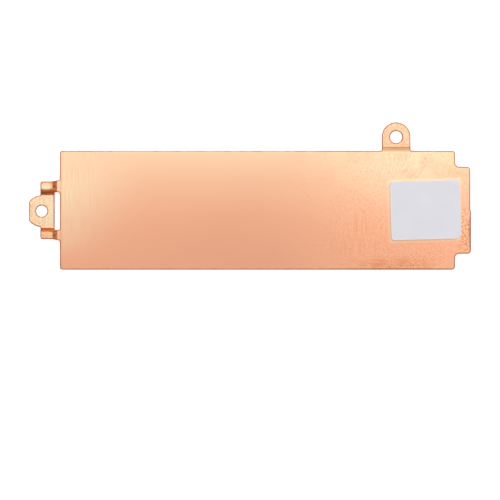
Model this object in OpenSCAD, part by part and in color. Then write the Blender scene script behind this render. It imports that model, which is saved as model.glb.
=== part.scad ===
// Heat sink for an 80 mm drive card: one stamped and joggled copper sheet, with a thermal pad on its outer face.
// The origin is on the axis of the end screw hole, at the underside of its tab, where a standoff meets it.
// +X runs along the plate to the tongue, +Y to the side ear, +Z through the plate to the pad.

/* [Sheet] */
// Thickness of the copper sheet
sheet_t = 0.4; // [0.3:0.05:0.6]
// Inside radius of every bend
bend_r = 0.3; // [0.15:0.05:0.4]
// Slope of each joggle, in degrees
joggle_angle = 45; // [40:1:60]
// Height that each joggle steps down
joggle_drop = 0.8; // [0.6:0.05:1]

/* [Plate] */
// Length of the plate with its tongue
plate_l = 80; // [60:1:110]
// Width of the plate
plate_w = 23.1; // [20:0.1:30]
// Distance from the end hole's axis to the plate's end edge
end_hole_to_plate = 3.6; // [3:0.05:5]
// Distance from the end hole's axis to the plate's centre line
plate_shift = 0.17; // [0:0.01:0.5]
// Length of the tongue past the plate's two shoulders
tongue_l = 3.1; // [2:0.1:6]
// Width of the notch on each side of the tongue
notch_w = 3.1; // [2:0.1:6]
// Radius inside each notch
notch_r = 0.8; // [0.3:0.05:1.2]
// Radius on the shoulders and on the tongue's corners
shoulder_r = 0.6; // [0.2:0.05:0.8]
// Radius on the two corners beside the end ear
corner_r = 0.4; // [0.1:0.05:2]
// Step in the tongue's end edge, where the strip's carrier was sheared off
carrier_step = 0.15; // [0.05:0.05:0.3]

/* [End ear] */
// Diameter of the end screw hole
end_hole_d = 2.2; // [1.6:0.1:3.2]
// Width of the sunken tab, which is also the diameter of its round end
tab_w = 6.15; // [5:0.05:7.4]
// Distance from the end hole's axis to the flat on the tab's nose
tab_nose = 2.45; // [2:0.05:2.9]
// Distance that the two platforms reach past the end hole's axis
platform_back = 0.23; // [0:0.01:0.6]
// Width over the two platforms
platform_w = 11.2; // [10:0.1:13]
// Radius on the platforms' outer corners
platform_r = 0.3; // [0.1:0.05:0.5]
// Width over the two arms where they leave the plate
arm_root_w = 11.75; // [11.3:0.05:16]
// Radius where the arms meet the plate's end edge
arm_root_r = 0.25; // [0.1:0.05:0.5]
// Distance from the plate's end edge to the start of the arms' bend
arm_bend_gap = 0.35; // [0.25:0.01:0.5]
// Width of the window, from the tab's edge to the plate
window_w = 1.1; // [0.9:0.05:1.3]
// Length of the window between the two arms
window_l = 7.4; // [6:0.1:8]
// Radius of the window's corners at the plate
window_r = 0.35; // [0.1:0.05:0.5]

/* [Side ear] */
// Diameter of the side screw hole
side_hole_d = 2.4; // [1.6:0.1:3.2]
// Width of the side ear, which is also the diameter of its round end
side_ear_w = 5.55; // [5:0.05:8]
// Distance from the plate's side edge out to the side hole's axis
side_hole_to_plate = 2.7; // [2:0.1:6]
// Distance past the side hole's axis at which the ear's round end is centred
side_ear_over = 0.1; // [0:0.02:0.4]
// Distance from the tongue's end back to the side hole's axis
side_hole_to_end = 14.55; // [8:0.05:30]
// Distance inside the plate's side edge where the side ear's bend starts
side_bend_inset = 0.27; // [0.1:0.01:0.6]

/* [Thermal pad] */
// Length of the pad along the plate
pad_l = 13.65; // [8:0.05:16]
// Width of the pad across the plate
pad_w = 11.45; // [8:0.05:14]
// Thickness of the pad
pad_t = 1; // [0.5:0.1:2]
// Radius of the pad's corners
pad_r = 0.7; // [0.2:0.1:2]
// Distance from the tongue's end to the pad
pad_to_end = 2; // [1:0.1:10]
// Distance from the plate's centre line to the pad's centre
pad_shift = 0.05; // [0:0.01:1]
// Angle that the hand-placed pad is turned by
pad_turn = 1.6; // [-5:0.1:5]

/* [Hidden] */
$fn = 72;

// How far a cut or a joined piece runs on past the edge that it makes
over = 0.5;
// How far the pieces of the end ear reach into each other, so that they join
bend_lap = 0.1;

// A joggle is two bends with a straight web between them
bend_outer_r = bend_r + sheet_t;
bends_r = bend_r + bend_outer_r;
web_l = (joggle_drop - bends_r * (1 - cos(joggle_angle))) / sin(joggle_angle);
joggle_run = bends_r * sin(joggle_angle) + web_l * cos(joggle_angle);

// Heights of the underside of each flat, from the tab up
tab_z = 0;
platform_z = tab_z + joggle_drop;
plate_z = platform_z + joggle_drop;
side_ear_z = plate_z - joggle_drop;
plate_top = plate_z + sheet_t;

// Edges of the plate
plate_x0 = end_hole_to_plate;
plate_x1 = plate_x0 + plate_l;
shoulder_x = plate_x1 - tongue_l;
plate_y0 = plate_shift - plate_w / 2;
plate_y1 = plate_shift + plate_w / 2;
tongue_y0 = plate_y0 + notch_w;
tongue_y1 = plate_y1 - notch_w;

// Distance from the tab's middle to the top of each of its slopes
slope_top = tab_w / 2 + joggle_run;

// Ends of the arms' joggle, and the window's edge at the tab
arm_x1 = plate_x0 - arm_bend_gap;
arm_x0 = arm_x1 - joggle_run;
window_x0 = plate_x0 - window_w;
arm_flare = atan2((arm_root_w - platform_w) / 2, plate_x0 - arm_x0);

// Places of the side ear
side_hole_x = plate_x1 - side_hole_to_end;
side_hole_y = plate_y1 + side_hole_to_plate;
side_end_y = side_hole_y + side_ear_over;
side_bend_y = plate_y1 - side_bend_inset;

// Piece between a corner at the origin and the arc that rounds it. The corner's sides leave along +X and
// at the given angle from it. It is taken off an outer corner, or added in an inner one.
module corner(r, angle = 90) {
    reach = r / tan(angle / 2);
    far_point = reach * [cos(angle), sin(angle)] + over * [-sin(angle), cos(angle)];
    back_point = -over / sin(angle / 2) * [cos(angle / 2), sin(angle / 2)];
    difference() {
        polygon([back_point, [reach, -over], [reach, r], far_point]);
        translate([reach, r]) circle(r = r);
    }
}

// The same piece at a corner of the outline, turned to it
module corner_at(x, y, turn, r, angle = 90) {
    translate([x, y]) rotate(turn) corner(r, angle);
}

// Square with the given opposite corners
module box_2d(x0, y0, x1, y1) {
    translate([x0, y0]) square([x1 - x0, y1 - y0]);
}

// Both halves of a shape that is symmetrical about the plate's centre line
module both_sides() {
    for (side = [0, 1]) {
        translate([0, plate_shift]) mirror([0, side]) children();
    }
}

// Everything below a joggle's curve, which steps down towards +X from y + joggle_drop to y. The upper bend
// starts at x = 0, and the curve runs from x0 to x1.
module below_joggle(y, upper_r, lower_r, x0, x1) {
    straight = 180 - joggle_angle;
    upper = [upper_r * tan(joggle_angle / 2), y + joggle_drop];
    lower = [joggle_run - lower_r * tan(joggle_angle / 2), y];
    floor_y = -2 * over;
    difference() {
        polygon([[x0, floor_y], [x0, upper.y], upper, lower, [x1, y], [x1, floor_y]]);
        corner_at(upper.x, upper.y, 180, upper_r, straight);
    }
    corner_at(lower.x, lower.y, 0, lower_r, straight);
}

// Section of a joggle of the sheet, with a flat of the given length before and after it. The lower flat has
// its underside at y = 0.
module joggle_section(upper_l, lower_l) {
    difference() {
        below_joggle(sheet_t, bend_outer_r, bend_r, -upper_l, joggle_run + lower_l);
        below_joggle(0, bend_r, bend_outer_r, -upper_l - over, joggle_run + lower_l + over);
    }
}

// Section across the tab, from one platform down to the tab and up to the other platform
module tab_section() {
    for (side = [0, 1]) {
        mirror([side, 0]) translate([slope_top, 0]) mirror([1, 0]) {
            joggle_section(platform_w / 2, tab_w / 2 + over);
        }
    }
}

// Outline of the plate and its tongue, with the notch that the side ear's bend starts in
module plate_outline() {
    difference() {
        union() {
            box_2d(plate_x0, plate_y0, shoulder_x, plate_y1);
            box_2d(shoulder_x - over, tongue_y0, plate_x1, tongue_y1);
            corner_at(shoulder_x, tongue_y1, 0, notch_r);
            corner_at(shoulder_x, tongue_y0, 270, notch_r);
        }
        corner_at(plate_x0, plate_y0, 0, corner_r);
        corner_at(plate_x0, plate_y1, 270, corner_r);
        corner_at(shoulder_x, plate_y0, 90, shoulder_r);
        corner_at(shoulder_x, plate_y1, 180, shoulder_r);
        corner_at(plate_x1, tongue_y0, 90, shoulder_r);
        corner_at(plate_x1 - carrier_step, tongue_y1, 180, shoulder_r);
        box_2d(plate_x1 - carrier_step, plate_shift, plate_x1 + over, tongue_y1 + over);
        side_ear_strip(side_bend_y, plate_y1 + over);
    }
}

// Outline of the window, square at the tab and rounded at the plate
module window_outline() {
    difference() {
        box_2d(window_x0, -window_l / 2, plate_x0, window_l / 2);
        corner_at(plate_x0, -window_l / 2, 90, window_r);
        corner_at(plate_x0, window_l / 2, 180, window_r);
    }
}

// Outline of one arm with its platform, from the plate's centre line outwards
module arm_outline() {
    difference() {
        union() {
            box_2d(-platform_back, -over, plate_x0 + over, platform_w / 2);
            polygon([
                [arm_x0, 0],
                [arm_x0, platform_w / 2],
                [plate_x0, arm_root_w / 2],
                [plate_x0 + over, arm_root_w / 2],
                [plate_x0 + over, 0]
            ]);
            corner_at(plate_x0, arm_root_w / 2, 90, arm_root_r, 90 + arm_flare);
        }
        corner_at(-platform_back, platform_w / 2, 270, platform_r);
    }
}

// Outline of the whole end ear: two arms, two platforms and the round tab with its sheared nose
module end_ear_outline() {
    difference() {
        union() {
            both_sides() arm_outline();
            difference() {
                circle(d = tab_w);
                box_2d(-tab_w, -tab_w, -tab_nose, tab_w);
            }
        }
        window_outline();
    }
}

// Outline of the tab and the platforms. The platforms end where the arms start to bend. The tab and its two
// slopes run on to the window, under the arms' inner corners.
module tab_outline() {
    past_x = plate_x0 + 2 * over;
    difference() {
        end_ear_outline();
        box_2d(window_x0, -plate_w, past_x, plate_w);
        for (side = [0, 1]) {
            mirror([0, side]) box_2d(arm_x0, slope_top + bend_lap, past_x, plate_w);
        }
    }
}

// Outline of the two arms alone. Their lower ends lap over the platforms.
module arms_outline() {
    difference() {
        end_ear_outline();
        box_2d(-tab_w, -plate_w, arm_x0 - bend_lap, plate_w);
        box_2d(-tab_w, -window_l / 2, window_x0 + bend_lap, window_l / 2);
    }
}

// Strip of the sheet that the side ear is bent from
module side_ear_strip(y0, y1) {
    box_2d(side_hole_x - side_ear_w / 2, y0, side_hole_x + side_ear_w / 2, y1);
}

// Outline of the side ear, round about its hole
module side_ear_outline() {
    side_ear_strip(side_bend_y - over, side_end_y);
    translate([side_hole_x, side_end_y]) circle(d = side_ear_w);
}

// Bridge-shaped end ear: both arms step down to platforms, and the tab sinks a second step between them
module end_ear() {
    height = plate_top + 2 * over;
    intersection() {
        translate([-tab_w, 0, tab_z]) rotate([90, 0, 90]) linear_extrude(tab_w + plate_x0) tab_section();
        translate([0, 0, -over]) linear_extrude(height) tab_outline();
    }
    intersection() {
        translate([arm_x1, plate_shift, platform_z]) rotate([90, 0, 0]) {
            linear_extrude(plate_w, center = true) mirror([1, 0]) joggle_section(2 * over, 2 * bend_lap);
        }
        translate([0, 0, -over]) linear_extrude(height) arms_outline();
    }
}

// Side ear: one joggle down from the plate's side edge
module side_ear() {
    intersection() {
        translate([side_hole_x - side_ear_w, side_bend_y, side_ear_z]) rotate([90, 0, 90]) {
            linear_extrude(2 * side_ear_w) joggle_section(2 * over, side_end_y - plate_y1 + side_ear_w);
        }
        translate([0, 0, side_ear_z - over]) linear_extrude(plate_top) side_ear_outline();
    }
}

// Screw hole through a flat whose underside is at z
module screw_hole(x, y, z, d) {
    translate([x, y, z - over]) cylinder(d = d, h = sheet_t + 2 * over);
}

module copper_plate() {
    color("#EDB78F") difference() {
        union() {
            translate([0, 0, plate_z]) linear_extrude(sheet_t) plate_outline();
            end_ear();
            side_ear();
        }
        screw_hole(0, 0, tab_z, end_hole_d);
        screw_hole(side_hole_x, side_hole_y, side_ear_z, side_hole_d);
    }
}

module thermal_pad() {
    centre = [plate_x1 - pad_to_end - pad_l / 2, plate_shift + pad_shift, plate_top];
    color("#DEDDE3") translate(centre) rotate(pad_turn) linear_extrude(pad_t) difference() {
        square([pad_l, pad_w], center = true);
        corner_at(-pad_l / 2, -pad_w / 2, 0, pad_r);
        corner_at(pad_l / 2, -pad_w / 2, 90, pad_r);
        corner_at(pad_l / 2, pad_w / 2, 180, pad_r);
        corner_at(-pad_l / 2, pad_w / 2, 270, pad_r);
    }
}

copper_plate();
thermal_pad();
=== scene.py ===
"""Heat sink for a drive card: a stamped and joggled copper sheet with a thermal pad on its outer face."""
import math
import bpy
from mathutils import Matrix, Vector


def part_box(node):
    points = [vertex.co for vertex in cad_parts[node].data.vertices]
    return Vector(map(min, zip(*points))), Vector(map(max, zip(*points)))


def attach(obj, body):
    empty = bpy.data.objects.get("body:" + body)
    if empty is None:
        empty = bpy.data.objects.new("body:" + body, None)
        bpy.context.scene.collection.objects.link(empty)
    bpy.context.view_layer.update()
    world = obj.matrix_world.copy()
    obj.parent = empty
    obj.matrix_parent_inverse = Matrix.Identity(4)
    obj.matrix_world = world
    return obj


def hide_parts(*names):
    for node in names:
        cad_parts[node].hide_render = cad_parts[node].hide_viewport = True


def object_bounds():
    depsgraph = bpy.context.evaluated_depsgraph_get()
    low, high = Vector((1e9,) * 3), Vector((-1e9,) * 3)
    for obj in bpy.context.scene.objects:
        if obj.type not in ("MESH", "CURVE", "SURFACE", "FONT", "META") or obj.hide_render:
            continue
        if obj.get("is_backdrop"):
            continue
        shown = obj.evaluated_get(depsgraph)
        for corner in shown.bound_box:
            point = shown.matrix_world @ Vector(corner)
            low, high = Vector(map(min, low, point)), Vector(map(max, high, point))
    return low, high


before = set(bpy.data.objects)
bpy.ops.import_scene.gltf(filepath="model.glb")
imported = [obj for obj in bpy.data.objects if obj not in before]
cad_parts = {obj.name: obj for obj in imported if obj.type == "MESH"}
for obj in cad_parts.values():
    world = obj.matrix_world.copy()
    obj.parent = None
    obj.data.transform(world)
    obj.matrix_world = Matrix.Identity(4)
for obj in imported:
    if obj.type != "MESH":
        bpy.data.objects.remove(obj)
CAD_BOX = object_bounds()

from types import SimpleNamespace

import bpy
from bpy.props import FloatProperty, FloatVectorProperty, PointerProperty
from mathutils import Vector, kdtree, noise
from mathutils.geometry import delaunay_2d_cdt

bl_info = {
    "name": "Drive Card Heat Sink",
    "version": (1, 0, 0),
    "blender": (4, 5, 0),
    "location": "3D View > Sidebar > Heat Sink",
    "description": "Builds the copper sheet, the thermal pad and the studio of a drive card's heat sink",
    "category": "Object",
}

PLATE_NODE = "copper_plate"
PAD_NODE = "thermal_pad"
MM = 0.001

# Shapes, with lengths in mm

# Height of the plate's outer face
PLATE_TOP = 2.0
# Small corner radii: at the carrier's step, between tab and platforms, on the nose, and at the window
STEP_R = 0.25
TAB_MEET_R = 0.2
NOSE_R = 0.3
TAB_CORNER_R = 0.2
# Width of the band that wears along an edge. It has to be under the smallest corner radius.
EDGE_BAND = 0.22
# Depth of the rolled edge as a share of its width
ROLL_DEPTH = 0.8
# Broken part of the edge: its insets from the top down, its top from the sheet's middle, and its foot from
# the underside
BREAK_INSETS = (0.012, 0.016, 0.022)
BREAK_TOP = -0.04
BREAK_FOOT = 0.03
# Lengths over which the bends run out: at the foot of each arm, and beside the side ear
FOOT_BLEND = 0.5
EAR_SIDE_BLEND = (0.02, 0.4)
# Waviness of the rolled sheet: its height, its lengths along X and Y and its seed, then where it fades
WAVE = (0.014, 17, 11, 0.37)
WAVE_IN_X = (5, 16)
WAVE_OUT_X = (56, 66)
WAVE_OUT_Y = (9.5, 11)
# Pad: width of the band along its rim, and width and depth of the rim's rounding
PAD_BAND = 0.42
PAD_RIM = (0.11, 0.09)
# Hollow of the pad's cut side, as insets at heights from its middle, then its foot's height and inset
PAD_HOLLOW = ((0.02, 0.16), (0.035, -0.05), (0.02, -0.28))
PAD_FOOT = 0.06
PAD_FOOT_INSET = 0.03
# How far the blade wanders along the pad's cut, over what length, and the seed
WANDER = (0.035, 3, 5.1)
# Unevenness of the pad's face for each mm of height, over what length, and the seed, then how far below the
# pad's middle it starts
UNEVEN = (0.012, 3.5, 2.2)
UNEVEN_FROM = 0.3

# Meshes, with lengths in mm

# Angle between two points of a rounded corner, and number of steps over a rolled edge
ARC_STEP = math.radians(9)
ROLL_STEPS = 5
# Edges sharper than this stay sharp
SHARP_ANGLE = math.radians(38)
# Distance between the points of an edge: on the flats, where the sheet bends, and on the pad
FLAT_STEP = 0.6
BEND_STEP = 0.09
PAD_STEP = 0.25
# Share of a step under which the last piece of a side is joined to the one before it
SHORT_PIECE = 0.3
# Distance between the points of a face: on the flats and the pad, and along the bends
PLATE_GRID = 2.0
EAR_GRID = 0.5
PAD_GRID = 0.6
ARM_BEND_GRID = 0.24
SIDE_BEND_GRID = 0.28
# Least distance of those points from the face's rim
PLATE_CLEAR = 0.45
EAR_CLEAR = 0.25
PAD_CLEAR = 0.3
BEND_CLEAR = 0.08
FOOT_CLEAR = 0.06
# How far those points keep from the sides of the plate, the tab and the pad
PLATE_MARGIN = 0.9
TAB_MARGIN = 0.3
PAD_MARGIN = 0.7
# Reach of the close points: over a bend's ends, before it, after it, beside it, and short of the hole
BEND_OVERLAP = 0.1
BEFORE_BEND = 0.2
AFTER_BEND = 0.4
BESIDE_BEND = 0.6
BEFORE_HOLE = 0.9

# Looks, with places on the sheet in mm

# Where a zone fades in along X or Y
LEFT_END = (20.0, 4.0)
RIGHT_END = (44.0, 66.0)
END_EAR = (3.6, 2.6)
SIDE_EAR = (11.4, 12.6)
SIDE_BEND = (11.3, 11.6)
LEFT_CUT = (4.2, 3.7)
RIGHT_OF_CUT = (3.5, 3.6)
PLATFORM_Y = (3.6, 4.0)
PLATFORM_X = (2.4, 2.1)
OFF_TONGUE_END = (82.1, 81.2)
# Soft oval patches of marks, as the centre and the reach
RUBBED = ((62.0, -5.0), (9.0, 9.0))
WIPED = ((70.5, 8.4), (7.5, 5.0))
SMEARED = ((69.0, -10.2), (13.0, 2.1))
GRAINY_EDGE = ((69.0, -10.6), (9.0, 1.7))
GRAINY_CORNER = ((73.0, -8.4), (12.0, 3.4))
# Painted shade along the plate's lower edge
SHADED_LOWER_EDGE = ((70.0, -11.4), (15.0, 1.6))
TONGUE = ((82.6, -4.0), (2.8, 7.5))
TONGUE_END = ((83.6, -4.4), (0.75, 6.0))
# Painted highlight and shade of a slightly domed platform, and a painted highlight along the tab's edge at
# the window
PLATFORM_SHADING = ((0.9, 4.85), (1.7, 1.1))
TAB_EDGE_HIGHLIGHT = ((1.75, 0.0), (0.45, 4.0))
# Point that the wiping marks fan out from
WIPE_FOCUS = (65.5, 3.0)
# Scale along Z that leaves heights out of a pattern
FLAT = 1e6
# The copper goes from deep to light as Y rises over this range, as painted reflection over thin tarnishing,
# and each lift adds to Y where all its zones overlap
REFLECTION_AND_TARNISH_RANGE = (-5.0, 26.0)
LIFTS = (
    (15.0, ("X", 22.0, 1.0), ("Y", 14.5, 3.0), ("Y", -13.0, -6.0)),
    (9.0, ("X", 48.0, 70.0), ("X", 86.0, 73.0), ("Y", -10.0, 10.0)),
    (20.0, ("Z", 0.7, 0.3)),
    (-4.0, ("X", 3.6, 2.6)),
)
# Roughness of the brushed copper, and what the cloth's strokes, the cut edge and the bends add to it
ROUGHNESS = (0.3, 0.07, 0.15, 0.12)

# Studio, with lengths in mm

WHITE = (1, 1, 1, 1)
# Glow of the floor, as the camera sees it and as the copper mirrors it
FLOOR_SEEN = 0.54
FLOOR_MIRRORED = 0.45
# Soft panels: name, place, size, target, radiance, and whether the copper mirrors the panel
PANELS = (
    ("ceiling_panel", (40, 75, 150), (260, 110), (40, 60, 0), 0.9, True),
    ("left_panel", (-75, 40, 150), (110, 120), (-60, 40, 0), 0.5, True),
    ("right_panel", (150, 40, 150), (110, 120), (130, 40, 0), 0.7, True),
    ("fill_panel", (40, 0, 400), (600, 600), (40, 0, 0), 0.45, False),
    ("front_panel", (20, -260, 120), (400, 160), (40, 0, 0), 1.5, False),
)
# Brightest direction of the room, the nearness to it over which the level rises, and the level at both ends
ROOM_BRIGHTEST = (0.12, 0.66, 0.74)
ROOM_NEARNESS = (0.25, 0.9)
ROOM_LEVELS = (0.15, 0.8)
# Least level of the room overhead, and the heights over which it comes in
OVERHEAD_LEVEL = 0.55
OVERHEAD_HEIGHTS = (0.12, 0.45)
# Camera: width of its sensor, and the nearest and farthest that it sees, in metres
SENSOR_WIDTH = 36
CLIP_DISTANCES = (0.01, 20)


def linear(hex_colour):
    """Turn an sRGB hex colour into the linear colour that a shader takes."""
    channels = [int(hex_colour[i:i + 2], 16) / 255 for i in (1, 3, 5)]
    return tuple(c / 12.92 if c <= 0.04045 else ((c + 0.055) / 1.055) ** 2.4 for c in channels)


def length(name, description, millimetres):
    """Property for a length, with its default given in millimetres."""
    return FloatProperty(
        name=name, description=description, default=millimetres * MM, min=0, precision=5,
        unit="LENGTH", subtype="DISTANCE",
    )


def angle(name, description, degrees):
    """Property for an angle, with its default given in degrees."""
    return FloatProperty(
        name=name, description=description, default=math.radians(degrees), unit="ROTATION", subtype="ANGLE",
    )


def colour(name, description, hex_colour):
    """Property for a colour, with its default given as sRGB hex."""
    return FloatVectorProperty(
        name=name, description=description, default=linear(hex_colour), min=0, max=1, size=3,
        subtype="COLOR",
    )


class CopperSheetSettings(bpy.types.PropertyGroup):
    """Sizes and colours of the stamped copper sheet."""

    sheet_t: length("Sheet thickness", "Thickness of the copper sheet", 0.4)
    bend_r: length("Bend radius", "Radius of each bend at the middle of the sheet", 0.5)
    joggle_drop: length("Joggle drop", "Height that each joggle steps down", 0.8)
    joggle_angle: angle("Joggle angle", "Slope of each joggle", 45)
    die_roll: length("Die roll", "How far the edge is rolled over by the stamping", 0.14)
    plate_l: length("Plate length", "Length of the plate with its tongue", 80)
    plate_w: length("Plate width", "Width of the plate", 23.1)
    plate_shift: length("Plate shift", "Distance from the end hole to the centre line", 0.17)
    end_hole_to_plate: length("End hole to plate", "From the end hole's axis to the plate", 3.6)
    tongue_l: length("Tongue length", "Length of the tongue past the shoulders", 3.1)
    notch_w: length("Notch width", "Width of the notch on each side of the tongue", 3.1)
    notch_r: length("Notch radius", "Radius inside each notch", 0.8)
    shoulder_r: length("Shoulder radius", "Radius on the shoulders and the tongue", 0.6)
    corner_r: length("Corner radius", "Radius on the corners beside the end ear", 0.4)
    carrier_step: length("Carrier step", "Step where the strip's carrier was sheared off", 0.15)
    end_hole_d: length("End hole", "Diameter of the end screw hole", 2.2)
    tab_w: length("Tab width", "Width of the sunken tab", 6.15)
    tab_nose: length("Tab nose", "From the end hole's axis to the flat on the nose", 2.45)
    platform_back: length("Platform back", "How far the platforms pass the end hole", 0.23)
    platform_w: length("Platform width", "Width over the two platforms", 11.2)
    platform_r: length("Platform radius", "Radius on the platforms' outer corners", 0.3)
    arm_root_w: length("Arm root width", "Width over the two arms at the plate", 11.75)
    arm_root_r: length("Arm root radius", "Radius where the arms meet the plate", 0.3)
    arm_bend_gap: length("Arm bend gap", "From the plate's end edge to the arms' bend", 0.35)
    window_w: length("Window width", "From the tab's inner edge to the plate", 1.1)
    window_l: length("Window length", "Length of the window between the arms", 7.4)
    window_r: length("Window radius", "Radius of the window's corners at the plate", 0.35)
    side_hole_d: length("Side hole", "Diameter of the side screw hole", 2.4)
    side_ear_w: length("Side ear width", "Width of the side ear", 5.53)
    side_hole_to_plate: length("Side hole to plate", "From the side edge to the side hole", 2.7)
    side_hole_to_end: length("Side hole to end", "From the tongue's end to the side hole", 14.55)
    side_ear_over: length("Side ear overrun", "From the side hole's axis to the round end's centre", 0.1)
    side_bend_inset: length("Side bend inset", "How far inside the edge the bend starts", 0.27)
    ear_root_r: length("Side ear root radius", "Radius where the side ear leaves the plate", 0.15)
    # Besides clean copper, the light tone paints the reflection towards the upper edge and ends, and painted
    # highlights
    light: colour("Light copper", "Clean copper, freshly brushed", "#FFE6BE")
    # Besides its thin tarnishing, the deep tone paints the darker reflection towards the lower edge
    deep: colour("Deep copper", "Copper with its first thin tarnish", "#FDB793")
    worn: colour("Worn copper", "Handling marks and the darker specks", "#CC7A4C")
    # Besides the burnish, the bent tone paints the shade on the end ear's slopes and at the platforms' rims
    bent: colour("Bent copper", "Bends, where the punch has burnished the sheet", "#F0874C")
    # The cut tone also paints the shade along the plate's lower edge
    cut: colour("Cut copper", "Rolled and sheared edges", "#8F4A2B")


class ThermalPadSettings(bpy.types.PropertyGroup):
    """Sizes and colours of the thermal pad."""

    pad_l: length("Pad length", "Length of the pad along the plate", 13.65)
    pad_w: length("Pad width", "Width of the pad across the plate", 11.45)
    pad_t: length("Pad thickness", "Thickness of the pad", 1.0)
    pad_r: length("Pad radius", "Radius of the pad's corners", 0.7)
    worn_r: length("Worn corner radius", "Radius of the corner nearest the tongue's lower end", 1.0)
    pad_turn: angle("Pad turn", "Angle that the hand-placed pad is turned by", 1.6)
    body: colour("Pad body", "Filled silicone", "#D0CFD5")
    filler: colour("Pad filler", "Paler grains of the filler", "#DCDBE1")
    # The rim tone is a painted glow: the copper's light on the pad's cut edge, painted lighter and pinkish
    # over the rim's shade
    rim: colour("Pad rim", "Cut edge, where the soft body lets the copper's glow through", "#F6E2E0")


class StudioSettings(bpy.types.PropertyGroup):
    """Floor and camera of the picture."""

    view_x: length("View along", "Point on the floor under the camera, along the plate", 40.59)
    view_y: length("View across", "How far the camera stands below the end hole's axis", 7.57)
    view_w: length("View width", "Width of the picture at the plate", 97.325)
    camera_h: length("Camera height", "Height of the camera above the plate", 1500)
    floor_w: length("Floor width", "Width of the floor", 6000)
    floor: colour("Floor", "Matt pale floor", "#DCDCDC")


def in_millimetres(settings):
    """Return the settings as plain values, with the lengths in millimetres."""
    values = {}
    for key, prop in settings.bl_rna.properties.items():
        if prop.is_readonly or key == "name":
            continue
        value = getattr(settings, key)
        if prop.type == "FLOAT" and prop.is_array:
            value = (*value, 1.0)
        elif prop.unit == "LENGTH":
            value = value / MM
        values[key] = value
    return SimpleNamespace(**values)


def smooth(low, high, value):
    """Rise smoothly from 0 at low to 1 at high."""
    t = min(max((value - low) / (high - low), 0), 1)
    return t * t * (3 - 2 * t)


# Outlines. Each is a closed loop with the material on its left hand.

def round_corners(corners):
    """Round each (x, y, radius) corner of a closed loop and return its points."""
    points = []
    count = len(corners)
    for i, (x, y, radius) in enumerate(corners):
        here = Vector((x, y))
        before = (Vector(corners[i - 1][:2]) - here).normalized()
        after = (Vector(corners[(i + 1) % count][:2]) - here).normalized()
        if radius == 0:
            points.append(here)
            continue
        half = before.angle(after) / 2
        centre = here + (before + after).normalized() * radius / math.sin(half)
        start = here + before * radius / math.tan(half) - centre
        end = here + after * radius / math.tan(half) - centre
        first = math.atan2(start.y, start.x)
        turn = math.remainder(math.atan2(end.y, end.x) - first, 2 * math.pi)
        steps = max(2, math.ceil(abs(turn) / ARC_STEP))
        for k in range(steps + 1):
            way = first + turn * k / steps
            points.append(centre + radius * Vector((math.cos(way), math.sin(way))))
    return points


def arc(x, y, radius, start, end, first_r=0, last_r=0):
    """Points of an arc, as corners of a loop. Only its two ends may have a radius."""
    steps = math.ceil(abs(end - start) / ARC_STEP * 2)
    ways = [start + (end - start) * k / steps for k in range(steps + 1)]
    points = [(x + radius * math.cos(way), y + radius * math.sin(way), 0) for way in ways]
    points[0] = (*points[0][:2], first_r)
    points[-1] = (*points[-1][:2], last_r)
    return points


def hole(x, y, diameter):
    """Points of a round hole."""
    return arc(x, y, diameter / 2, 2 * math.pi, 0)[:-1]


def split_long(points, step_at):
    """Split the long sides of a loop, to the step that each place asks for."""
    result = []
    for i, here in enumerate(points):
        after = points[(i + 1) % len(points)]
        gap = after - here
        if gap.length < 1e-5:
            continue
        if step_at(here) == step_at(after) == step_at((here + after) / 2) and gap.length <= step_at(here):
            result.append(here)
            continue
        done = 0.0
        while done < gap.length - 1e-6:
            spot = here + gap * (done / gap.length)
            result.append(spot)
            done += min(step_at(spot), gap.length)
        if (result[-1] - after).length < SHORT_PIECE * step_at(after):
            result.pop()
            if not result or (result[-1] - here).length > 1e-6 and gap.length <= step_at(here):
                result.append(here)
    return result


def inset_loop(points, distance):
    """Move each point of a loop into the material by the given distance."""
    result = []
    for i, here in enumerate(points):
        before = (here - points[i - 1]).normalized()
        after = (points[(i + 1) % len(points)] - here).normalized()
        left = Vector((-before.y, before.x))
        right = Vector((-after.y, after.x))
        result.append(here + distance * (left + right) / (1 + left.dot(right)))
    return result


def inside(loops, x, y):
    """Whether a point lies in the outline and in none of its openings."""
    crossings = 0
    for loop in loops:
        for i, p in enumerate(loop):
            q = loop[i - 1]
            if (p.y > y) != (q.y > y) and x < q.x + (y - q.y) * (p.x - q.x) / (p.y - q.y):
                crossings += 1
    return crossings % 2 == 1


# Solids

def rows(low, high, step):
    """Evenly spaced values from low to high."""
    count = max(1, round((high - low) / step))
    return [low + (high - low) * k / count for k in range(count + 1)]


def clear_points(rims, grid):
    """Return the points of the (x, y, clearance) grid that lie in the material and clear of its rims."""
    rim_points = [p for rim in rims for p in rim]
    tree = kdtree.KDTree(len(rim_points))
    for i, p in enumerate(rim_points):
        tree.insert((p.x, p.y, 0), i)
    tree.balance()
    return [
        (x, y) for x, y, clearance in grid
        if tree.find((x, y, 0))[2] >= clearance and inside(rims, x, y)
    ]


def net_triangles(name, rims, points):
    """Return the triangles between the rims and the points, which are numbered one after another."""
    plan, sides = [], []
    for rim in rims:
        sides += [(len(plan) + i, len(plan) + (i + 1) % len(rim)) for i in range(len(rim))]
        plan += rim
    rim_count = len(plan)
    plan += [Vector(p) for p in points]
    spots, _, faces, origins, _, _ = delaunay_2d_cdt(plan, sides, [], 1, 1e-6)
    triangles = []
    for face in faces:
        if any(not origins[i] for i in face):
            raise RuntimeError(f"{name}: the outline crosses itself")
        corners = [origins[i][0] for i in face]
        a, b, c = (spots[i] for i in face)
        middle = (a + b + c) / 3
        if max(corners) < rim_count and not inside(rims, middle.x, middle.y):
            continue
        if (b - a).cross(c - a) < 0:
            corners.reverse()
        triangles.append(corners)
    return triangles


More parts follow.
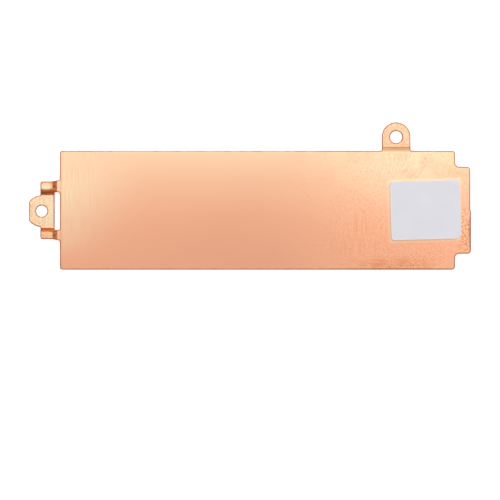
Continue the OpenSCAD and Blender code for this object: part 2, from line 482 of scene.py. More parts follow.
def stamped_solid(name, loops, profile, grid, place):
    """Build a solid from its loops in plan.

    The profile runs down the edge as (inset, height, edge) rows, and place gives the point for a plan
    position and a height. Both faces are filled with the same net, which passes through the grid's points.
    """
    verts, edge_values, faces = [], [], []

    def add_vert(p, height, edge):
        verts.append(place(*p, height))
        edge_values.append(edge)
        return len(verts) - 1

    top, bottom = [], []
    for loop in loops:
        rings = [
            [add_vert(p, height, edge) for p in inset_loop(loop, inset)] for inset, height, edge in profile
        ]
        for upper, lower in zip(rings, rings[1:]):
            for i in range(len(loop)):
                j = (i + 1) % len(loop)
                faces.append((lower[i], lower[j], upper[j], upper[i]))
        top += rings[0]
        bottom += rings[-1]

    rims = [inset_loop(loop, profile[0][0]) for loop in loops]
    points = clear_points(rims, grid)
    for p in points:
        top.append(add_vert(p, profile[0][1], 0.0))
        bottom.append(add_vert(p, profile[-1][1], 0.0))
    for corners in net_triangles(name, rims, points):
        faces.append([top[i] for i in corners])
        faces.append([bottom[i] for i in reversed(corners)])
    return new_piece(name, verts, edge_values, faces)


def new_piece(name, verts, edge_values, faces):
    """Make the object from its faces and the vertices that they use, and store its edge values."""
    used = sorted({i for face in faces for i in face})
    renumber = {old: new for new, old in enumerate(used)}
    mesh = bpy.data.meshes.new(name)
    mesh.from_pydata(
        [[c * MM for c in verts[i]] for i in used], [], [[renumber[i] for i in face] for face in faces]
    )
    mesh.shade_smooth()
    mesh.set_sharp_from_angle(angle=SHARP_ANGLE)
    rolled = mesh.attributes.new("edge", "FLOAT", "POINT")
    rolled.data.foreach_set("value", [edge_values[i] for i in used])
    if mesh.validate():
        raise RuntimeError(f"{name}: the mesh had faces that aren't valid")
    piece = bpy.data.objects.new(name, mesh)
    bpy.context.scene.collection.objects.link(piece)
    return piece


def rolled_rim(width, depth, top):
    """Return the (inset, height) points of a quarter turn over an edge, from the face down."""
    ways = [math.radians(90 * k / ROLL_STEPS) for k in range(ROLL_STEPS + 1)]
    return [(width * (1 - math.sin(way)), top - depth * (1 - math.cos(way))) for way in ways]


# The copper sheet

def copper_sizes(settings):
    """Return the sheet's sizes with the values that follow from them."""
    s = in_millimetres(settings)
    s.web_l = (s.joggle_drop - 2 * s.bend_r * (1 - math.cos(s.joggle_angle))) / math.sin(s.joggle_angle)
    s.bend_run = s.bend_r * math.sin(s.joggle_angle)
    s.joggle_run = 2 * s.bend_run + s.web_l * math.cos(s.joggle_angle)
    s.plate_mid_z = 2 * s.joggle_drop + s.sheet_t / 2
    s.plate_x0 = s.end_hole_to_plate
    s.plate_x1 = s.plate_x0 + s.plate_l
    s.shoulder_x = s.plate_x1 - s.tongue_l
    s.plate_y0 = s.plate_shift - s.plate_w / 2
    s.plate_y1 = s.plate_shift + s.plate_w / 2
    s.arm_x1 = s.plate_x0 - s.arm_bend_gap
    s.arm_x0 = s.arm_x1 - s.joggle_run
    s.window_x0 = s.plate_x0 - s.window_w
    s.tab_r = s.tab_w / 2
    s.side_x = s.plate_x1 - s.side_hole_to_end
    s.side_y = s.plate_y1 + s.side_hole_to_plate
    s.side_end_y = s.side_y + s.side_ear_over
    s.side_bend_y = s.plate_y1 - s.side_bend_inset
    return s


def joggle_fall(s, u):
    """Return how far a joggle has stepped down at the distance u from the start of its upper bend."""
    if u <= 0:
        return 0.0
    if u >= s.joggle_run:
        return s.joggle_drop
    if u < s.bend_run:
        return s.bend_r - math.sqrt(s.bend_r ** 2 - u ** 2)
    left = s.joggle_run - u
    if left < s.bend_run:
        return s.joggle_drop - s.bend_r + math.sqrt(s.bend_r ** 2 - left ** 2)
    return s.bend_r * (1 - math.cos(s.joggle_angle)) + (u - s.bend_run) * math.tan(s.joggle_angle)


def plate_wave(x, y):
    """Slight unevenness of the rolled sheet, away from the ears and the pad."""
    share = smooth(*WAVE_IN_X, x) * (1 - smooth(*WAVE_OUT_X, x)) * (1 - smooth(*WAVE_OUT_Y, abs(y)))
    height, along, across, seed = WAVE
    return height * share * noise.noise(Vector((x / along, y / across, seed)))


def mid_height(s, x, y):
    """Height of the middle of the sheet above a plan position."""
    height = s.plate_mid_z
    if x < s.plate_x0:
        # The arm's bend and the tab's run into each other at the foot of each arm
        past_window = smooth(s.window_x0, s.window_x0 + FOOT_BLEND, x)
        arm_share = max(past_window, smooth(s.tab_r, s.tab_r + s.joggle_run, abs(y)))
        height -= s.joggle_drop + (joggle_fall(s, s.arm_x1 - x) - s.joggle_drop) * arm_share
        return height - (1 - past_window) * joggle_fall(s, s.tab_r + s.joggle_run - abs(y))
    if y > s.side_bend_y:
        beyond = abs(x - s.side_x) - s.side_ear_w / 2
        return height - joggle_fall(s, y - s.side_bend_y) * (1 - smooth(*EAR_SIDE_BLEND, beyond))
    return height + plate_wave(x, y)


def slopes(s, x, y):
    """Return how steeply the sheet rises along X and along Y at a plan position."""
    delta = 0.004
    return (
        (mid_height(s, x + delta, y) - mid_height(s, x - delta, y)) / (2 * delta),
        (mid_height(s, x, y + delta) - mid_height(s, x, y - delta)) / (2 * delta),
    )


def place_on_sheet(s):
    """Return the function that puts a plan position and a height across the sheet in space."""
    def place(x, y, height):
        slope_x, slope_y = slopes(s, x, y)
        normal = Vector((-slope_x, -slope_y, 1)).normalized()
        return Vector((x, y, mid_height(s, x, y))) + height * normal

    return place


def sheet_outline(s):
    """Corners of the sheet's outline, from the plate's lower left corner."""
    mid = s.plate_shift
    ear = s.side_ear_w / 2
    root = s.arm_root_w / 2
    platform = s.platform_w / 2
    tongue_y0 = s.plate_y0 + s.notch_w
    tongue_y1 = s.plate_y1 - s.notch_w
    tab_meet = math.acos(-s.platform_back / s.tab_r)
    tab_flat = math.acos(-s.tab_nose / s.tab_r)
    step = s.carrier_step
    return [
        (s.plate_x0, s.plate_y0, s.corner_r),
        (s.shoulder_x, s.plate_y0, s.shoulder_r),
        (s.shoulder_x, tongue_y0, s.notch_r),
        (s.plate_x1, tongue_y0, s.shoulder_r),
        (s.plate_x1, mid - step, STEP_R),
        (s.plate_x1 - step, mid + step, STEP_R),
        (s.plate_x1 - step, tongue_y1, s.shoulder_r),
        (s.shoulder_x, tongue_y1, s.notch_r),
        (s.shoulder_x, s.plate_y1, s.shoulder_r),
        (s.side_x + ear, s.plate_y1, s.ear_root_r),
        *arc(s.side_x, s.side_end_y, ear, 0, math.pi),
        (s.side_x - ear, s.plate_y1, s.ear_root_r),
        (s.plate_x0, s.plate_y1, s.corner_r),
        (s.plate_x0, mid + root, s.arm_root_r),
        (s.arm_x0, mid + platform, 0),
        (-s.platform_back, mid + platform, s.platform_r),
        *arc(0, 0, s.tab_r, tab_meet, tab_flat, TAB_MEET_R, NOSE_R),
        *arc(0, 0, s.tab_r, -tab_flat, -tab_meet, NOSE_R, TAB_MEET_R),
        (-s.platform_back, mid - platform, s.platform_r),
        (s.arm_x0, mid - platform, 0),
        (s.plate_x0, mid - root, s.arm_root_r),
    ]


def copper_loops(s):
    """Outline of the sheet, its window and its two holes, split finely where the sheet bends."""
    half = s.window_l / 2
    window = [
        (s.window_x0, -half, TAB_CORNER_R),
        (s.window_x0, half, TAB_CORNER_R),
        (s.plate_x0, half, s.window_r),
        (s.plate_x0, -half, s.window_r),
    ]
    loops = (
        sheet_outline(s), window, hole(0, 0, s.end_hole_d), hole(s.side_x, s.side_y, s.side_hole_d),
    )

    def step_at(p):
        at_end = p.x < s.plate_x0 + AFTER_BEND and abs(p.y) < s.arm_root_w / 2 + BESIDE_BEND
        by_ear = abs(p.x - s.side_x) < s.side_ear_w / 2 + BESIDE_BEND
        at_side = by_ear and s.side_bend_y - BEFORE_BEND < p.y < s.side_y - BEFORE_HOLE
        return BEND_STEP if at_end or at_side else FLAT_STEP

    return [split_long(round_corners(loop), step_at) for loop in loops]


def copper_grid(s):
    """Points inside the sheet's outline, close together where it bends, each with its own clearance."""
    grid = []

    def fill(xs, ys, clearance, side=1):
        grid.extend((x, side * y, clearance) for x in rows(*xs) for y in rows(*ys))

    platform = s.platform_w / 2
    window = s.window_l / 2
    slope_y = s.tab_r + s.joggle_run
    ear = s.side_ear_w / 2
    ear_y = s.side_bend_y + s.joggle_run
    fill((s.plate_x0 + PLATE_MARGIN, s.plate_x1 - PLATE_MARGIN, PLATE_GRID),
         (s.plate_y0 + PLATE_MARGIN, s.plate_y1 - PLATE_MARGIN, PLATE_GRID), PLATE_CLEAR)
    # On each side: the arm, the slope from the platform to the tab, the arm's foot, and the platform
    for side in (-1, 1):
        fill((s.arm_x0 - BEND_OVERLAP, s.plate_x0 + BEND_OVERLAP, BEND_STEP),
             (window, platform + BESIDE_BEND, ARM_BEND_GRID), BEND_CLEAR, side)
        fill((-s.platform_back, s.arm_x0 - BEFORE_BEND, ARM_BEND_GRID),
             (s.tab_r - BEND_OVERLAP, slope_y + BEND_OVERLAP, BEND_STEP), BEND_CLEAR, side)
        fill((s.arm_x0 - BEND_OVERLAP, s.window_x0, BEND_STEP),
             (s.tab_r - BEND_OVERLAP, window, BEND_STEP), FOOT_CLEAR, side)
        fill((-s.platform_back, s.arm_x0 - BEFORE_BEND, EAR_GRID),
             (slope_y + AFTER_BEND, platform, EAR_GRID), EAR_CLEAR, side)
    # The tab, the side ear's bend, and the side ear
    fill((-s.tab_nose, s.window_x0, EAR_GRID),
         (TAB_MARGIN - s.tab_r, s.tab_r - TAB_MARGIN, EAR_GRID), EAR_CLEAR)
    fill((s.side_x - ear - AFTER_BEND, s.side_x + ear + AFTER_BEND, SIDE_BEND_GRID),
         (s.side_bend_y - BEND_OVERLAP, ear_y + BEND_OVERLAP, BEND_STEP), BEND_CLEAR)
    fill((s.side_x - ear, s.side_x + ear, EAR_GRID),
         (ear_y + AFTER_BEND, s.side_y + ear, EAR_GRID), EAR_CLEAR)
    return grid


def sheared_profile(s):
    """Section of a stamped edge: rolled over above, sheared straight at the middle, broken back below."""
    half = s.sheet_t / 2
    roll = rolled_rim(s.die_roll, ROLL_DEPTH * s.die_roll, half)
    break_inset, foot_inset, under_inset = BREAK_INSETS
    return [
        (EDGE_BAND, half, 0.0),
        *((inset, height, 1 - inset / EDGE_BAND) for inset, height in roll),
        (0.0, 0.0, 1.0),
        (break_inset, BREAK_TOP, 1.0),
        (foot_inset, BREAK_FOOT - half, 1.0),
        (under_inset, -half, 0.8),
        (EDGE_BAND, -half, 0.0),
    ]


def mark_bends(piece, s):
    """Store at each vertex how steep the sheet is there, for the look of its bends."""
    steep = piece.data.attributes.new("bend", "FLOAT", "POINT")
    values = []
    for vertex in piece.data.vertices:
        slope_x, slope_y = slopes(s, vertex.co.x / MM, vertex.co.y / MM)
        values.append(math.hypot(slope_x, slope_y))
    steep.data.foreach_set("value", values)


# The thermal pad

def pad_sizes(settings):
    """Return the pad's sizes with the middle of its place on the sheet."""
    s = in_millimetres(settings)
    low, high = (Vector(corner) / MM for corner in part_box(PAD_NODE))
    s.middle = (low + high) / 2
    return s


def pad_loop(s):
    """Outline of the pad about its own middle, where the blade has wandered a little along each cut."""
    half_l, half_w = s.pad_l / 2, s.pad_w / 2
    corners = [
        (-half_l, -half_w, s.pad_r), (half_l, -half_w, s.worn_r),
        (half_l, half_w, s.pad_r), (-half_l, half_w, s.pad_r),
    ]
    loop = split_long(round_corners(corners), lambda p: PAD_STEP)
    most, long, seed = WANDER
    wandered = []
    for p, q in zip(loop, inset_loop(loop, 1.0)):
        drift = 0.5 * (1 + noise.noise(Vector((p.x / long, p.y / long, seed))))
        wandered.append(p + (q - p) * most * drift)
    return wandered


def pad_profile(s):
    """Section of the pad's side: a soft rim, a slightly hollow cut, and a foot that bulges a little."""
    top = s.pad_t / 2
    rim = rolled_rim(*PAD_RIM, top)
    return [
        (PAD_BAND, top, 0.0),
        *((inset, height, k / ROLL_STEPS) for k, (inset, height) in enumerate(rim)),
        *((inset, height, 1.0) for inset, height in PAD_HOLLOW),
        (0.0, PAD_FOOT - top, 1.0),
        (PAD_FOOT_INSET, -top, 1.0),
        (PAD_BAND, -top, 0.0),
    ]


def pad_grid(s):
    """Points inside the pad's outline, each with its clearance."""
    half_l, half_w = s.pad_l / 2, s.pad_w / 2
    return [(x, y, PAD_CLEAR) for x in rows(PAD_MARGIN - half_l, half_l - PAD_MARGIN, PAD_GRID)
            for y in rows(PAD_MARGIN - half_w, half_w - PAD_MARGIN, PAD_GRID)]


def place_pad(s):
    """Return the function that puts a point of the pad in its turned place, with its face uneven."""
    turn_x, turn_y = math.cos(s.pad_turn), math.sin(s.pad_turn)
    most, long, seed = UNEVEN

    def place(x, y, height):
        lift = most * (noise.noise(Vector((x / long, y / long, seed))) - 1) * max(0, height + UNEVEN_FROM)
        return Vector((s.middle.x + x * turn_x - y * turn_y, s.middle.y + x * turn_y + y * turn_x,
                       s.middle.z + height + lift))

    return place


# Nodes

def add_node(tree, kind, inputs=None, **settings):
    """Add a shader node with its settings, and set or link each of its inputs."""
    node = tree.nodes.new("ShaderNode" + kind)
    for key, value in settings.items():
        setattr(node, key, value)
    for key, value in (inputs or {}).items():
        if isinstance(value, bpy.types.NodeSocket):
            tree.links.new(value, node.inputs[key])
        else:
            node.inputs[key].default_value = value
    return node


def new_material(name):
    """Return an empty node material and its tree."""
    material = bpy.data.materials.new(name)
    material.use_nodes = True
    material.node_tree.nodes.clear()
    return material, material.node_tree


def place_in_millimetres(tree):
    """Return the object's own coordinates in millimetres."""
    own = add_node(tree, "TexCoord").outputs["Object"]
    return add_node(tree, "VectorMath", {0: own, "Scale": 1 / MM}, operation="SCALE").outputs[0]


def share_of(tree, value, low, high, most=1.0, within=1.0):
    """Return how far a value has come from low to high, times the most and times another share."""
    part = add_node(tree, "MapRange",
                    {"Value": value, "From Min": low, "From Max": high, "To Min": 0.0, "To Max": most},
                    interpolation_type="SMOOTHSTEP").outputs[0]
    return add_node(tree, "Math", {0: part, 1: within}, operation="MULTIPLY").outputs[0]


def layer(tree, base, tone, value, low, high, most, within=1.0):
    """Lay a tone over the base colour, by how far a value has come from low to high."""
    share = share_of(tree, value, low, high, most, within)
    return add_node(tree, "Mix", {0: share, 6: base, 7: tone}, data_type="RGBA").outputs[2]


def patch(tree, place, centre, reach):
    """Return a soft-edged oval patch, 1 at its centre and 0 at its reach, in millimetres."""
    away = add_node(tree, "Mapping", {"Vector": place, "Location": (*centre, 0), "Scale": (*reach, FLAT)},
                    vector_type="TEXTURE").outputs[0]
    far = add_node(tree, "VectorMath", {0: away}, operation="LENGTH").outputs["Value"]
    return share_of(tree, far, 1.0, 0.2)


def streaks(tree, place, width, long, turn=0.0):
    """Return streaks of the given width and length in millimetres, turned in degrees from the Y axis."""
    along = add_node(tree, "Mapping",
                     {"Vector": place, "Rotation": (0, 0, math.radians(turn)), "Scale": (width, long, 1.0)},
                     vector_type="TEXTURE").outputs[0]
    return clouds(tree, along, 1.0)


def clouds(tree, place, size, detail=2.0):
    """Return soft clouds of the given size in millimetres."""
    return add_node(tree, "TexNoise",
                    {"Vector": place, "Scale": 1 / size, "Detail": detail, "Roughness": 0.5}).outputs["Fac"]


def wiping_marks(tree, place, focus, curl, apart, long):
    """Return curved marks that fan out from a focus: apart in radians, long in millimetres."""
    away = add_node(tree, "VectorMath", {0: place, 1: (*focus, 0)}, operation="SUBTRACT").outputs[0]
    axes = add_node(tree, "SeparateXYZ", {0: away}).outputs
    far = add_node(tree, "VectorMath", {0: away}, operation="LENGTH").outputs["Value"]
    bearing = add_node(tree, "Math", {0: axes["X"], 1: axes["Y"]}, operation="ARCTAN2").outputs[0]
    curled = add_node(tree, "Math", {0: far, 1: curl, 2: bearing}, operation="MULTIPLY_ADD").outputs[0]
    fan = add_node(tree, "CombineXYZ", {"X": curled, "Y": far}).outputs[0]
    return streaks(tree, fan, apart, long)


def beside_pad(tree, place, pad):
    """Return the distance from the pad in plan, in millimetres. It is 0 under the pad."""
    own = add_node(tree, "Mapping",
                   {"Vector": place, "Location": (pad.middle.x, pad.middle.y, 0),
                    "Rotation": (0, 0, pad.pad_turn), "Scale": (1, 1, FLAT)},
                   vector_type="TEXTURE").outputs[0]
    outward = add_node(tree, "VectorMath", {0: own}, operation="ABSOLUTE").outputs[0]
    past = add_node(tree, "VectorMath", {0: outward, 1: (pad.pad_l / 2, pad.pad_w / 2, 0)},
                    operation="SUBTRACT").outputs[0]
    past = add_node(tree, "VectorMath", {0: past, 1: (0, 0, 0)}, operation="MAXIMUM").outputs[0]
    return add_node(tree, "VectorMath", {0: past}, operation="LENGTH").outputs["Value"]


# Copper. Marks are rows of a tone, a pattern, the range that it comes in over, its strength and its zone.

def copper_fields(tree):
    """Return the coordinates, zones and patterns that several of the copper's marks share."""
    f = SimpleNamespace(place=place_in_millimetres(tree))
    f.axes = add_node(tree, "SeparateXYZ", {0: f.place}).outputs
    f.x, f.y = f.axes["X"], f.axes["Y"]
    f.edge = add_node(tree, "Attribute", attribute_name="edge").outputs["Fac"]
    f.bend = add_node(tree, "Attribute", attribute_name="bend").outputs["Fac"]
    f.at_left = share_of(tree, f.x, *LEFT_END)
    f.at_right = share_of(tree, f.x, *RIGHT_END)
    f.on_end_ear = share_of(tree, f.x, *END_EAR)
    f.on_side_ear = share_of(tree, f.y, *SIDE_EAR)
    # The mill's brush lines and a cloth's strokes are some hundredths of a millimetre wide: drawn at 0.2 and
    # 0.1 mm so that they show
    f.lines = streaks(tree, f.place, width=0.2, long=5.0)
    f.strokes = streaks(tree, f.place, width=0.1, long=0.7, turn=6)
    # Grain that the dies and the handling leave, about as fine as the picture can show
    f.grain = clouds(tree, f.place, size=0.28, detail=3.0)
    return f


def tarnish_and_reflection(tree, f, s):
    """Painted reflection over thinly tarnished copper, lighter towards the upper edge, at both ends and on
    the sunken tab.
    """
    lift = f.y
    for most, *zones in LIFTS:
        share = most
        for axis, low, high in zones:
            share = share_of(tree, f.axes[axis], low, high, 1.0, share)
        lift = add_node(tree, "Math", {0: lift, 1: share}, operation="ADD").outputs[0]
    base = layer(tree, s.deep, s.light, lift, *REFLECTION_AND_TARNISH_RANGE, 1.0)
    return layer(tree, base, s.deep, f.on_side_ear, 0.0, 1.0, 0.6)


def handling_marks(tree, f, s):
    """Brush lines at the left end, and a cloth's strokes, wiping marks, smears and specks at the right."""
    tarnish_clouds = clouds(tree, f.place, size=3.4)
    cross_strokes = streaks(tree, f.place, width=0.1, long=0.8, turn=-32)
    fan = wiping_marks(tree, f.place, WIPE_FOCUS, curl=0.05, apart=0.045, long=3.0)
    wiped = patch(tree, f.place, *WIPED)
    smears = streaks(tree, f.place, width=0.35, long=2.4, turn=87)
    # Only the peaks of these clouds show, as specks of about 0.15 mm
    specks = clouds(tree, f.place, size=0.5, detail=0.0)
    return [
        (s.deep, f.lines, 0.4, 0.65, 0.4, f.at_left),
        (s.deep, tarnish_clouds, 0.45, 0.65, 0.3, f.at_right),
        (s.bent, f.strokes, 0.45, 0.75, 0.5, f.at_right),
        (s.light, cross_strokes, 0.45, 0.75, 0.5, f.at_right),
        (s.bent, f.lines, 0.45, 0.7, 0.3, patch(tree, f.place, *RUBBED)),
        (s.light, fan, 0.5, 0.66, 0.5, wiped),
        (s.deep, fan, 0.5, 0.36, 0.38, wiped),
        (s.bent, smears, 0.36, 0.62, 0.45, patch(tree, f.place, *SMEARED)),
        (s.worn, specks, 0.8, 0.85, 0.6, f.at_right),
    ]


def press_marks(tree, f, s):
    """Dotted tongue with a darker end, burnished band at the left cut, and grain on the ears and below."""
    on_tongue = patch(tree, f.place, *TONGUE)
    dots = clouds(tree, f.place, size=0.3, detail=1.0)
    on_ears = add_node(tree, "Math", {0: f.on_end_ear, 1: f.on_side_ear}, operation="ADD").outputs[0]
    return [
        (s.bent, on_tongue, 0.0, 1.0, 0.12),
        (s.light, dots, 0.5, 0.32, 0.5, on_tongue),
        (s.worn, dots, 0.5, 0.66, 0.7, on_tongue),
        (s.cut, patch(tree, f.place, *TONGUE_END), 0.0, 1.0, 0.5),
        (s.bent, f.x, *LEFT_CUT, 0.35, share_of(tree, f.x, *RIGHT_OF_CUT)),
        (s.bent, f.grain, 0.46, 0.7, 0.4, on_ears),
        (s.light, f.grain, 0.5, 0.3, 0.5, on_ears),
        (s.worn, f.grain, 0.46, 0.66, 0.6, patch(tree, f.place, *GRAINY_EDGE)),
        (s.worn, f.grain, 0.5, 0.7, 0.5, patch(tree, f.place, *GRAINY_CORNER)),
    ]


def painted_light_marks(tree, f, s, pad):
    """Painted light round the pad over its shadow, painted highlight and shade on the platform, and a
    painted highlight along the window.
    """
    dome_shading = patch(tree, f.place, *PLATFORM_SHADING)
    on_platform = share_of(tree, f.y, *PLATFORM_Y, 1.0, share_of(tree, f.x, *PLATFORM_X))
    return [
        # Painted light round the pad, over the pad's own shadow on the copper
        (s.light, beside_pad(tree, f.place, pad), 0.8, 0.0, 0.65, share_of(tree, f.x, *OFF_TONGUE_END)),
        # Painted shade at the platform's rims and a painted highlight on its top
        (s.bent, dome_shading, 0.9, 0.1, 0.6, on_platform),
        (s.light, dome_shading, 0.3, 1.0, 0.8, on_platform),
        # Painted highlight along the tab's edge at the window
        (s.light, patch(tree, f.place, *TAB_EDGE_HIGHLIGHT), 0.0, 1.0, 0.7),
    ]


def bend_shading_and_marks(tree, f, s):
    """Painted shade on the end ear's bends, which the dies have also marked. The side ear's steep part gets
    a painted highlight.
    """
    on_bends = share_of(tree, f.bend, 0.2, 0.6, 1.0, f.on_end_ear)
    on_side_bend = share_of(tree, f.y, *SIDE_BEND)
    die_marks = streaks(tree, f.place, width=0.3, long=1.4, turn=90)
    return [
        # Painted shade: the bent tone darkens the end ear's slopes by how steep they are
        (s.bent, f.bend, 0.02, 0.35, 1.0, f.on_end_ear),
        (s.cut, die_marks, 0.5, 0.62, 0.4, on_bends),
        (s.light, die_marks, 0.48, 0.36, 0.5, on_bends),
        (s.bent, f.bend, 0.02, 0.12, 0.5, on_side_bend),
        # Painted highlight on the side ear's slope
        (s.light, f.bend, 0.4, 0.9, 0.5, on_side_bend),
        # Darker grain on the end ear's steepest parts, partly painted shade
        (s.worn, f.grain, 0.4, 0.6, 0.4, share_of(tree, f.bend, 0.3, 0.9, 1.0, f.on_end_ear)),
    ]


def edge_marks(tree, f, s):
    """Worn and cut edges, raggedly worn in places and darkest at the right end, with painted shade along the
    lower edge.
    """
    ragged = share_of(tree, clouds(tree, f.place, size=1.4), 0.42, 0.6)
    return [
        (s.worn, f.edge, 0.0, 0.3, 0.6, ragged),
        (s.bent, f.edge, 0.0, 0.4, 0.6, f.on_end_ear),
        (s.worn, f.edge, 0.0, 0.5, 0.3),
        (s.worn, f.edge, 0.0, 0.4, 0.4, f.at_right),
        (s.cut, f.edge, 0.3, 0.75, 0.9),
        (s.cut, f.edge, 0.0, 0.5, 0.6, f.at_right),
        (s.cut, f.edge, 0.0, 0.5, 0.35, f.at_left),
        # Painted shade: the cut tone darkens the lower edge's roll towards the right
        (s.cut, f.edge, 0.0, 0.2, 0.95, patch(tree, f.place, *SHADED_LOWER_EDGE)),
    ]


def brushed_roughness(tree, f):
    """Roughness of satin, duller where the cloth has stroked, on the cut edges and on the bends."""
    brushed, stroked, cut, bent = ROUGHNESS
    roughness = add_node(tree, "Math", {0: f.at_right, 1: stroked, 2: brushed},
                         operation="MULTIPLY_ADD").outputs[0]
    for more in (share_of(tree, f.edge, 0.6, 1.0, cut), share_of(tree, f.bend, 0.1, 0.7, bent)):
        roughness = add_node(tree, "Math", {0: roughness, 1: more}, operation="ADD").outputs[0]
    return roughness


def brushed_relief(tree, f):
    """Relief of the brush lines at the left end and of the cloth's strokes at the right."""
    cloth = share_of(tree, f.strokes, 0.3, 0.7, 1.0, f.at_right)
    relief = add_node(tree, "Math", {0: f.lines, 1: f.at_left, 2: cloth}, operation="MULTIPLY_ADD")
    bump = add_node(tree, "Bump", {"Strength": 0.15, "Distance": 0.01 * MM, "Height": relief.outputs[0]})
    return bump.outputs[0]


def brushed_copper(s, pad):
    """Cold-rolled copper sheet, brushed across its feed: pale satin with fine streaks along Y."""
    material, tree = new_material("brushed_copper_sheet")
    f = copper_fields(tree)
    base = tarnish_and_reflection(tree, f, s)
    marks = [
        *handling_marks(tree, f, s), *press_marks(tree, f, s), *painted_light_marks(tree, f, s, pad),
        *bend_shading_and_marks(tree, f, s), *edge_marks(tree, f, s),
    ]
    for mark in marks:
        base = layer(tree, base, *mark)
    shader = add_node(tree, "BsdfPrincipled",
                      {"Base Color": base, "Metallic": 1.0, "Roughness": brushed_roughness(tree, f),
                       "Normal": brushed_relief(tree, f), "Anisotropic": 0.25})
    add_node(tree, "OutputMaterial", {"Surface": shader.outputs[0]})
    return material


# Other materials

def silicone_pad(s):
    """Ceramic-filled silicone, calendered between liners: matt, soft, faintly lavender white."""
    material, tree = new_material("filled_silicone_pad")
    place = place_in_millimetres(tree)
    unevenness = clouds(tree, place, size=3.57, detail=3.0)
    # Filler grains are some hundredths of a millimetre: drawn at 0.125 mm so that they just show
    grains = clouds(tree, place, size=0.125)
    mixed = add_node(tree, "Math", {0: unevenness, 1: grains}, operation="MULTIPLY").outputs[0]
    share = add_node(tree, "MapRange",
                     {"Value": mixed, "From Min": 0.15, "From Max": 0.5, "To Min": 0.0, "To Max": 0.5})
    tint = add_node(tree, "Mix", {0: share.outputs[0], 6: s.body, 7: s.filler}, data_type="RGBA")
    edge = add_node(tree, "Attribute", attribute_name="edge").outputs["Fac"]
    # Painted glow: the rim is lighter and pinkish, for the copper's light on the pad's cut edge
    tint = layer(tree, tint.outputs[2], s.rim, edge, 0.0, 0.6, 0.9)
    bump = add_node(tree, "Bump", {"Strength": 0.25, "Distance": 0.03 * MM, "Height": grains})
    shader = add_node(tree, "BsdfPrincipled",
                      {"Base Color": tint, "Roughness": 0.62, "IOR": 1.41,
                       "Normal": bump.outputs[0], "Subsurface Weight": 0.5,
                       "Subsurface Radius": (MM, MM, MM), "Subsurface Scale": 0.6})
    add_node(tree, "OutputMaterial", {"Surface": shader.outputs[0]})
    return material


def matt_floor(s):
    """Matt white card, which the camera and the copper see as white, with the shadow kept."""
    material, tree = new_material("matt_white_card")
    path = add_node(tree, "LightPath").outputs
    mirrored = add_node(tree, "Math", {0: path["Is Glossy Ray"], 1: path["Is Transmission Ray"]},
                        operation="MAXIMUM").outputs[0]
    glow = add_node(tree, "Math", {0: mirrored, 1: FLOOR_MIRRORED}, operation="MULTIPLY").outputs[0]
    glow = add_node(tree, "Math", {0: path["Is Camera Ray"], 1: FLOOR_SEEN, 2: glow},
                    operation="MULTIPLY_ADD")
    shader = add_node(tree, "BsdfPrincipled",
                      {"Base Color": s.floor, "Roughness": 0.9, "Specular IOR Level": 0.0,
                       "Emission Color": WHITE, "Emission Strength": glow.outputs[0]})
    add_node(tree, "OutputMaterial", {"Surface": shader.outputs[0]})
    return material


# The studio

def add_floor(scene, s):
    """Add the floor that the heat sink stands on."""
    half = s.floor_w / 2 * MM
    mesh = bpy.data.meshes.new("floor")
    corners = [(-half, -half, 0), (half, -half, 0), (half, half, 0), (-half, half, 0)]
    mesh.from_pydata(corners, [], [(0, 1, 2, 3)])
    mesh.materials.append(matt_floor(s))
    floor = bpy.data.objects.new("floor", mesh)
    scene.collection.objects.link(floor)
    floor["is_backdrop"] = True


def add_panel(scene, name, place, size, target, level, mirrored):
    """Add a soft panel of the given radiance, with its lengths in millimetres."""
    lamp = bpy.data.lights.new(name, "AREA")
    lamp.shape = "RECTANGLE"
    lamp.size, lamp.size_y = (side * MM for side in size)
    lamp.energy = level * math.pi * lamp.size * lamp.size_y
    panel = bpy.data.objects.new(name, lamp)
    panel.location = Vector(place) * MM
    aim = (Vector(target) - Vector(place)).normalized()
    panel.rotation_euler = aim.to_track_quat("-Z", "Y").to_euler()
    panel.visible_camera = False
    panel.visible_glossy = mirrored
    scene.collection.objects.link(panel)


def add_world(scene):
    """Light the room most from above the sheet's upper edge, evenly overhead, and least low in front."""
    world = bpy.data.worlds.new("soft_room")
    world.use_nodes = True
    tree = world.node_tree
    tree.nodes.clear()
    way = add_node(tree, "TexCoord").outputs["Generated"]
    nearness = add_node(tree, "VectorMath", {0: way, 1: ROOM_BRIGHTEST}, operation="DOT_PRODUCT").outputs[1]
    level = add_node(tree, "MapRange",
                     {"Value": nearness, "From Min": ROOM_NEARNESS[0], "From Max": ROOM_NEARNESS[1],
                      "To Min": ROOM_LEVELS[0], "To Max": ROOM_LEVELS[1]},
                     interpolation_type="SMOOTHSTEP").outputs[0]
    height = add_node(tree, "SeparateXYZ", {0: way}).outputs["Z"]
    overhead = share_of(tree, height, *OVERHEAD_HEIGHTS, OVERHEAD_LEVEL)
    level = add_node(tree, "Math", {0: level, 1: overhead}, operation="MAXIMUM").outputs[0]
    light = add_node(tree, "Background", {"Color": WHITE, "Strength": level})
    add_node(tree, "OutputWorld", {"Surface": light.outputs[0]})
    scene.world = world


def add_camera(scene, s):
    """Add the camera straight above, at the photograph's framing."""
    lens = bpy.data.cameras.new("camera")
    lens.sensor_width = SENSOR_WIDTH
    lens.lens = SENSOR_WIDTH * s.camera_h / s.view_w
    lens.clip_start, lens.clip_end = CLIP_DISTANCES
    camera = bpy.data.objects.new("camera", lens)
    camera.location = (s.view_x * MM, -s.view_y * MM, (PLATE_TOP + s.camera_h) * MM)
    scene.collection.objects.link(camera)
    scene.camera = camera


# Operators

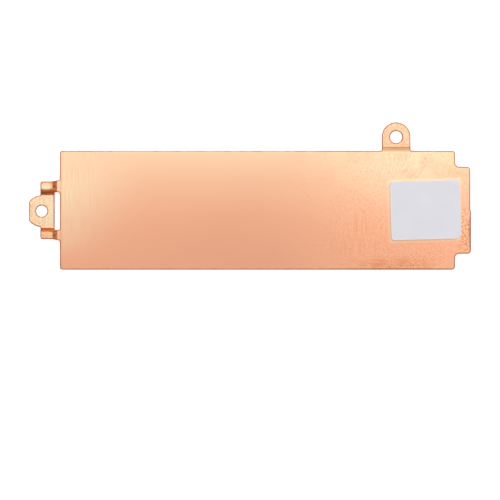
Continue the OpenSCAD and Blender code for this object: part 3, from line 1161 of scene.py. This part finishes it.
class HEATSINK_OT_copper_sheet(bpy.types.Operator):
    """Build the stamped copper sheet: plate, tongue, end ear and side ear"""

    bl_idname = "heatsink.copper_sheet"
    bl_label = "Copper Sheet"
    bl_options = {"REGISTER", "UNDO"}

    def execute(self, context):
        s = copper_sizes(context.scene.heatsink_copper)
        pad = pad_sizes(context.scene.heatsink_pad)
        piece = stamped_solid("copper_sheet", copper_loops(s), sheared_profile(s), copper_grid(s),
                              place_on_sheet(s))
        mark_bends(piece, s)
        piece.data.materials.append(brushed_copper(s, pad))
        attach(piece, "root")
        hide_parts(PLATE_NODE)
        return {"FINISHED"}


class HEATSINK_OT_thermal_pad(bpy.types.Operator):
    """Build the thermal pad: a soft slab with cut edges and a calendered face"""

    bl_idname = "heatsink.thermal_pad"
    bl_label = "Thermal Pad"
    bl_options = {"REGISTER", "UNDO"}

    def execute(self, context):
        s = pad_sizes(context.scene.heatsink_pad)
        piece = stamped_solid("thermal_pad_soft", [pad_loop(s)], pad_profile(s), pad_grid(s), place_pad(s))
        piece.data.materials.append(silicone_pad(s))
        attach(piece, "root")
        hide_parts(PAD_NODE)
        return {"FINISHED"}


class HEATSINK_OT_studio(bpy.types.Operator):
    """Set up the floor, the soft light and the camera straight above"""

    bl_idname = "heatsink.studio"
    bl_label = "Studio"
    bl_options = {"REGISTER", "UNDO"}

    def execute(self, context):
        scene = context.scene
        s = in_millimetres(scene.heatsink_studio)
        add_floor(scene, s)
        for panel in PANELS:
            add_panel(scene, *panel)
        add_world(scene)
        add_camera(scene, s)
        scene.view_settings.view_transform = "Standard"
        return {"FINISHED"}


class HEATSINK_PT_panel(bpy.types.Panel):
    """List the pieces in the sidebar"""

    bl_idname = "HEATSINK_PT_panel"
    bl_label = "Heat Sink"
    bl_space_type = "VIEW_3D"
    bl_region_type = "UI"
    bl_category = "Heat Sink"

    def draw(self, context):
        for operator in OPERATORS:
            self.layout.operator(operator.bl_idname)


OPERATORS = (HEATSINK_OT_copper_sheet, HEATSINK_OT_thermal_pad, HEATSINK_OT_studio)
CLASSES = (CopperSheetSettings, ThermalPadSettings, StudioSettings, *OPERATORS, HEATSINK_PT_panel)


def register():
    """Register the classes and hang the settings on the scene."""
    for cls in CLASSES:
        bpy.utils.register_class(cls)
    bpy.types.Scene.heatsink_copper = PointerProperty(type=CopperSheetSettings)
    bpy.types.Scene.heatsink_pad = PointerProperty(type=ThermalPadSettings)
    bpy.types.Scene.heatsink_studio = PointerProperty(type=StudioSettings)


def unregister():
    """Take the settings and the classes off again."""
    del bpy.types.Scene.heatsink_studio
    del bpy.types.Scene.heatsink_pad
    del bpy.types.Scene.heatsink_copper
    for cls in reversed(CLASSES):
        bpy.utils.unregister_class(cls)


def main():
    """Build everything."""
    register()
    bpy.ops.heatsink.copper_sheet()
    bpy.ops.heatsink.thermal_pad()
    bpy.ops.heatsink.studio()
    boxes = {"cad": CAD_BOX, "visual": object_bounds()}
    {key: [[float(c) for c in corner] for corner in box] for key, box in boxes.items()}


if __name__ == "__main__":
    main()
